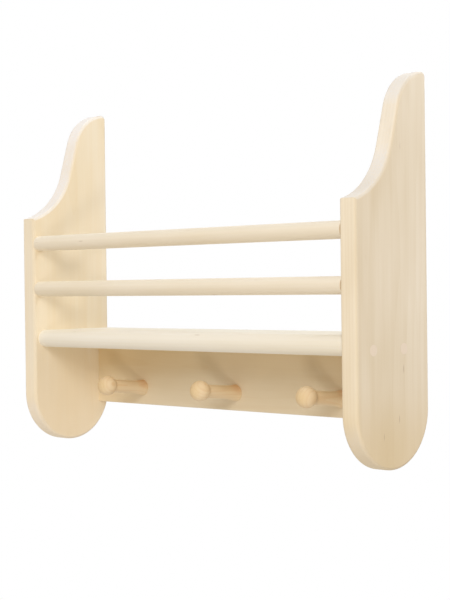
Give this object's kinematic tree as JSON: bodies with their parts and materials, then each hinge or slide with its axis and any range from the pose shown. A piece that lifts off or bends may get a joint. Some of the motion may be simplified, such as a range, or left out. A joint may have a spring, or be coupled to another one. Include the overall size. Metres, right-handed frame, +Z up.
{
  "type": "shaker peg rail with shelf",
  "caption": "Wall rack with ogee side panels, a shelf guarded by round rails, and turned pegs on a rail below; it hangs on keyholes in the panels' back edges.",
  "frame": {"origin": "on the wall plane, midway between the centres of the two keyhole entries", "axes": "+X along the rack to the viewer's right, +Y into the wall, +Z up"},
  "size_m": [0.45, 0.104, 0.3537],
  "materials": {
    "panel_board": "sanded pale hardwood, satin",
    "shelf_board": "sanded pale hardwood, satin",
    "peg_rail_board": "sanded pale hardwood, satin",
    "turned_rail": "turned and sanded, satin",
    "turned_peg": "turned and sanded, satin",
    "wood_plug": "end of a turned plug, sanded flush",
    "dowel_pin": "fluted, unfinished",
    "screw_steel": "zinc plated"
  },
  "bodies": {
    "root": {"side_panel_left": "panel_board", "side_panel_right": "panel_board", "shelf_board": "shelf_board", "peg_rail": "peg_rail_board", "guard_rail_upper": "turned_rail", "guard_rail_lower": "turned_rail", "peg_left": "turned_peg", "peg_middle": "turned_peg", "peg_right": "turned_peg", "dowel_pin_left_lower": "dowel_pin", "dowel_pin_left_upper": "dowel_pin", "plug_left_back": "wood_plug", "shelf_screw_left_back": "screw_steel", "plug_left_front": "wood_plug", "shelf_screw_left_front": "screw_steel", "dowel_pin_right_lower": "dowel_pin", "dowel_pin_right_upper": "dowel_pin", "plug_right_back": "wood_plug", "shelf_screw_right_back": "screw_steel", "plug_right_front": "wood_plug", "shelf_screw_right_front": "screw_steel"}
  },
  "joints": []
}
